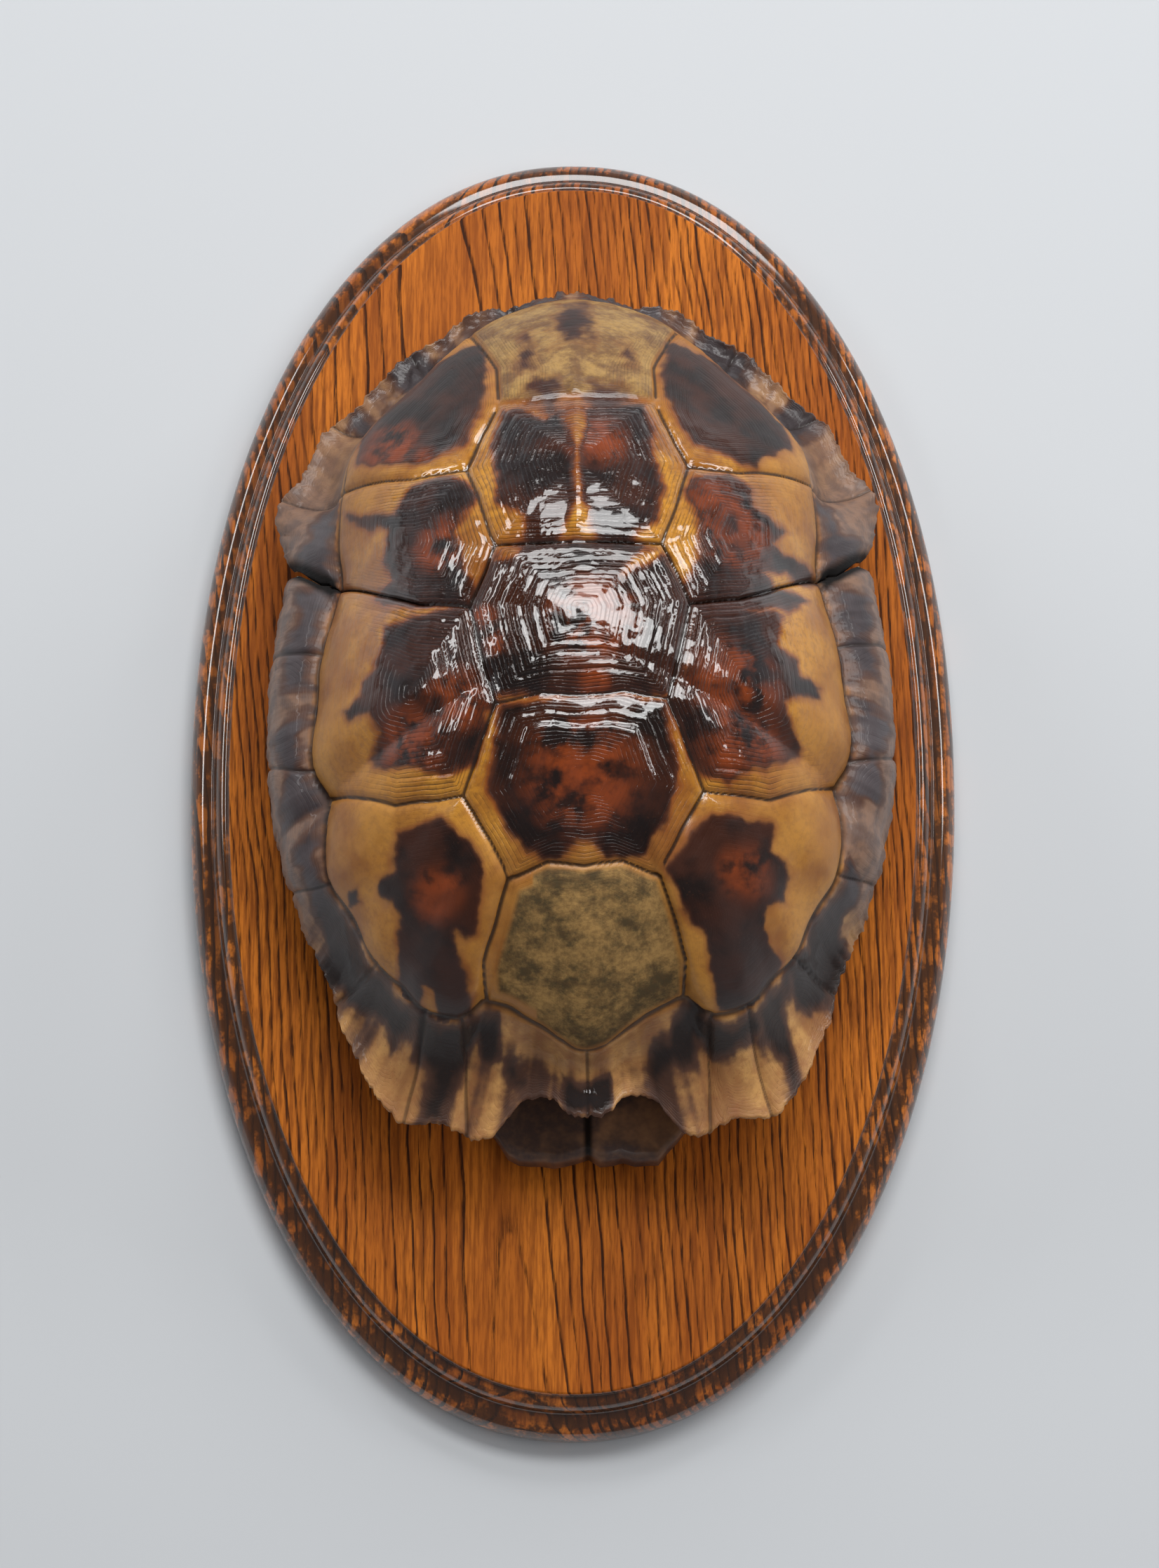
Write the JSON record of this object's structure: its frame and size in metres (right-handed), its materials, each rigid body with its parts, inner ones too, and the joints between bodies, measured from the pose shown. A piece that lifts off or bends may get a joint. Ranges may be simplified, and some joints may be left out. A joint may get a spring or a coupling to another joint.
{
  "type": "mounted hinge-back tortoise shell",
  "caption": "Varnished hinge-back tortoise shell with flared front scutes, hinged rear carapace and belly plate, fixed on an oval moulded wooden plaque.",
  "frame": {"origin": "middle of the plaque's flat back, on the surface that it lies on", "axes": "+Z out of the plaque's face, +Y along the plaque towards the tail end of the shell, +X to the right with the head end below"},
  "size_m": [0.2, 0.341, 0.1147],
  "materials": {
    "plaque_wood": "stained open-grained wood under clear varnish",
    "carapace_horn": "mottled amber and dark brown horn scutes under gloss varnish",
    "plastron_horn": "dark brown horn, satin"
  },
  "bodies": {
    "root": {"plaque": "plaque_wood", "carapace_front": "carapace_horn", "carapace_rear": "carapace_horn", "plastron": "plastron_horn"}
  },
  "joints": []
}
